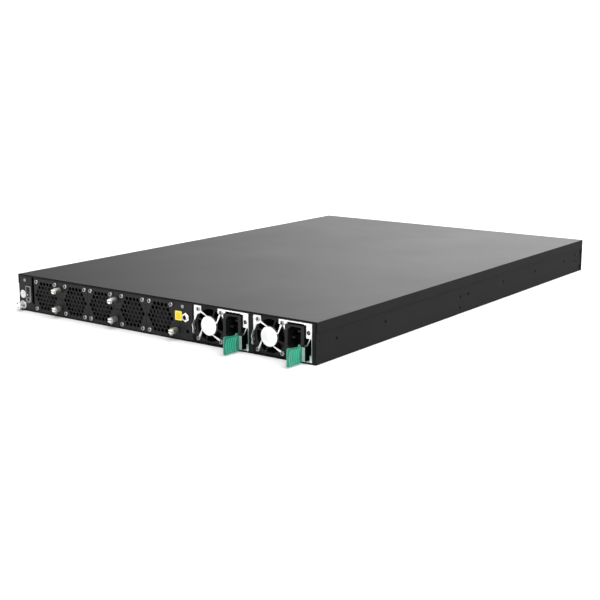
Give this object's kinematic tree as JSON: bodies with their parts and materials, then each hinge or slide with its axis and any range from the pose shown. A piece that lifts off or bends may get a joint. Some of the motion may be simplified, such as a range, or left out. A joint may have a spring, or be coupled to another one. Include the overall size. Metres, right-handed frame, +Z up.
{
  "type": "network switch",
  "caption": "Rackmount network switch, one unit high and deep, with plug-in fan modules, two plug-in power supplies and pluggable transceiver ports.",
  "frame": {"origin": "centre of the underside", "axes": "-Y out of the ports, +Y out of the fans and power supplies, +Z up"},
  "size_m": [0.44, 0.6762, 0.0436],
  "materials": {
    "black_paint": "fine powder coat",
    "panel_black": "fine powder coat",
    "fan_plastic": "moulded, matt",
    "black_plastic": "moulded, satin",
    "plated_steel": "zinc plated sheet",
    "bright_steel": "bright plated sheet",
    "nickel": "turned, nickel plated",
    "screw_steel": "plated",
    "spring_steel": "rolled strip",
    "aluminium": "extruded",
    "circuit_board": "solder mask",
    "grey_plastic": "moulded, satin",
    "green_plastic": "moulded, satin",
    "label": "printed film"
  },
  "bodies": {
    "root": {"chassis_base": "black_paint", "top_cover": "black_paint", "front_panel": "panel_black", "rear_frame": "panel_black", "psu_cage": "panel_black", "service_panel": "panel_black", "timing_panel": "panel_black", "panel_screws": "screw_steel", "main_board": "circuit_board", "heatsinks": "aluminium", "port_cages": "plated_steel", "port_connectors": "black_plastic", "management_ports": "plated_steel", "fan_board": "circuit_board", "service_bezel": "grey_plastic", "ground_stud": "nickel", "sma_jack": "nickel"},
    "fan_1_module": {"fan_1_face": "panel_black", "fan_1_frame": "fan_plastic", "fan_1_screws": "screw_steel"},
    "fan_1_impeller": {"fan_1_rotor": "fan_plastic"},
    "fan_1_knob": {"fan_1_thumbscrew": "nickel"},
    "fan_2_module": {"fan_2_face": "panel_black", "fan_2_frame": "fan_plastic", "fan_2_screws": "screw_steel"},
    "fan_2_impeller": {"fan_2_rotor": "fan_plastic"},
    "fan_2_knob": {"fan_2_thumbscrew": "nickel"},
    "fan_3_module": {"fan_3_face": "panel_black", "fan_3_frame": "fan_plastic", "fan_3_screws": "screw_steel"},
    "fan_3_impeller": {"fan_3_rotor": "fan_plastic"},
    "fan_3_knob": {"fan_3_thumbscrew": "nickel"},
    "fan_4_module": {"fan_4_face": "panel_black", "fan_4_frame": "fan_plastic", "fan_4_screws": "screw_steel"},
    "fan_4_impeller": {"fan_4_rotor": "fan_plastic"},
    "fan_4_knob": {"fan_4_thumbscrew": "nickel"},
    "fan_5_module": {"fan_5_face": "panel_black", "fan_5_frame": "fan_plastic", "fan_5_screws": "screw_steel"},
    "fan_5_impeller": {"fan_5_rotor": "fan_plastic"},
    "fan_5_knob": {"fan_5_thumbscrew": "nickel"},
    "psu_1_unit": {"psu_1_case": "plated_steel", "psu_1_face": "bright_steel", "psu_1_inlet": "black_plastic", "psu_1_fan_frame": "fan_plastic", "psu_1_screws": "screw_steel", "psu_1_board": "circuit_board"},
    "psu_1_impeller": {"psu_1_rotor": "fan_plastic"},
    "psu_1_latch": {"psu_1_latch_spring": "spring_steel", "psu_1_latch_grip": "green_plastic"},
    "psu_2_unit": {"psu_2_case": "plated_steel", "psu_2_face": "bright_steel", "psu_2_inlet": "black_plastic", "psu_2_fan_frame": "fan_plastic", "psu_2_screws": "screw_steel", "psu_2_board": "circuit_board"},
    "psu_2_impeller": {"psu_2_rotor": "fan_plastic"},
    "psu_2_latch": {"psu_2_latch_spring": "spring_steel", "psu_2_latch_grip": "green_plastic"},
    "service_button": {"service_button": "black_plastic"},
    "ground_nut": {"ground_nut": "nickel"}
  },
  "joints": [
    {"name": "fan_1_slide", "type": "slide", "parent": "root", "child": "fan_1_module", "axis": [0, 1, 0], "range_m": [0, 0.09]},
    {"name": "fan_1_spin", "type": "hinge", "parent": "fan_1_module", "child": "fan_1_impeller", "pos_m": [0.1714, 0.309, 0.0213], "axis": [0, 1, 0], "continuous": true},
    {"name": "fan_1_knob_turn", "type": "hinge", "parent": "fan_1_module", "child": "fan_1_knob", "pos_m": [0.14675, 0.329, 0.01055], "axis": [0, 1, 0], "continuous": true},
    {"name": "fan_2_slide", "type": "slide", "parent": "root", "child": "fan_2_module", "axis": [0, 1, 0], "range_m": [0, 0.09]},
    {"name": "fan_2_spin", "type": "hinge", "parent": "fan_2_module", "child": "fan_2_impeller", "pos_m": [0.1221, 0.309, 0.0213], "axis": [0, 1, 0], "continuous": true},
    {"name": "fan_2_knob_turn", "type": "hinge", "parent": "fan_2_module", "child": "fan_2_knob", "pos_m": [0.14675, 0.329, 0.03205], "axis": [0, 1, 0], "continuous": true},
    {"name": "fan_3_slide", "type": "slide", "parent": "root", "child": "fan_3_module", "axis": [0, 1, 0], "range_m": [0, 0.09]},
    {"name": "fan_3_spin", "type": "hinge", "parent": "fan_3_module", "child": "fan_3_impeller", "pos_m": [0.0801, 0.309, 0.0213], "axis": [0, 1, 0], "continuous": true},
    {"name": "fan_3_knob_turn", "type": "hinge", "parent": "fan_3_module", "child": "fan_3_knob", "pos_m": [0.05545, 0.329, 0.01055], "axis": [0, 1, 0], "continuous": true},
    {"name": "fan_4_slide", "type": "slide", "parent": "root", "child": "fan_4_module", "axis": [0, 1, 0], "range_m": [0, 0.09]},
    {"name": "fan_4_spin", "type": "hinge", "parent": "fan_4_module", "child": "fan_4_impeller", "pos_m": [0.0308, 0.309, 0.0213], "axis": [0, 1, 0], "continuous": true},
    {"name": "fan_4_knob_turn", "type": "hinge", "parent": "fan_4_module", "child": "fan_4_knob", "pos_m": [0.05545, 0.329, 0.03205], "axis": [0, 1, 0], "continuous": true},
    {"name": "fan_5_slide", "type": "slide", "parent": "root", "child": "fan_5_module", "axis": [0, 1, 0], "range_m": [0, 0.09]},
    {"name": "fan_5_spin", "type": "hinge", "parent": "fan_5_module", "child": "fan_5_impeller", "pos_m": [-0.0112, 0.309, 0.0213], "axis": [0, 1, 0], "continuous": true},
    {"name": "fan_5_knob_turn", "type": "hinge", "parent": "fan_5_module", "child": "fan_5_knob", "pos_m": [-0.03585, 0.329, 0.01055], "axis": [0, 1, 0], "continuous": true},
    {"name": "psu_1_slide", "type": "slide", "parent": "root", "child": "psu_1_unit", "axis": [0, 1, 0], "range_m": [0, 0.2]},
    {"name": "psu_1_spin", "type": "hinge", "parent": "psu_1_unit", "child": "psu_1_impeller", "pos_m": [-0.0815, 0.309, 0.0215], "axis": [0, 1, 0], "continuous": true},
    {"name": "psu_1_release", "type": "hinge", "parent": "psu_1_unit", "child": "psu_1_latch", "pos_m": [-0.13135, 0.296, 0.01], "axis": [0, 0, -1], "range_deg": [0, 2.5], "stiffness_Nm_per_rad": 1},
    {"name": "psu_2_slide", "type": "slide", "parent": "root", "child": "psu_2_unit", "axis": [0, 1, 0], "range_m": [0, 0.2]},
    {"name": "psu_2_spin", "type": "hinge", "parent": "psu_2_unit", "child": "psu_2_impeller", "pos_m": [-0.1615, 0.309, 0.0215], "axis": [0, 1, 0], "continuous": true},
    {"name": "psu_2_release", "type": "hinge", "parent": "psu_2_unit", "child": "psu_2_latch", "pos_m": [-0.21135, 0.296, 0.01], "axis": [0, 0, -1], "range_deg": [0, 2.5], "stiffness_Nm_per_rad": 1},
    {"name": "service_button_press", "type": "slide", "parent": "root", "child": "service_button", "axis": [0, -1, 0], "range_m": [0, 0.001], "stiffness_N_per_m": 300},
    {"name": "ground_nut_turn", "type": "hinge", "parent": "root", "child": "ground_nut", "pos_m": [0.2116, 0.329, 0.0072], "axis": [0, 1, 0], "continuous": true}
  ]
}
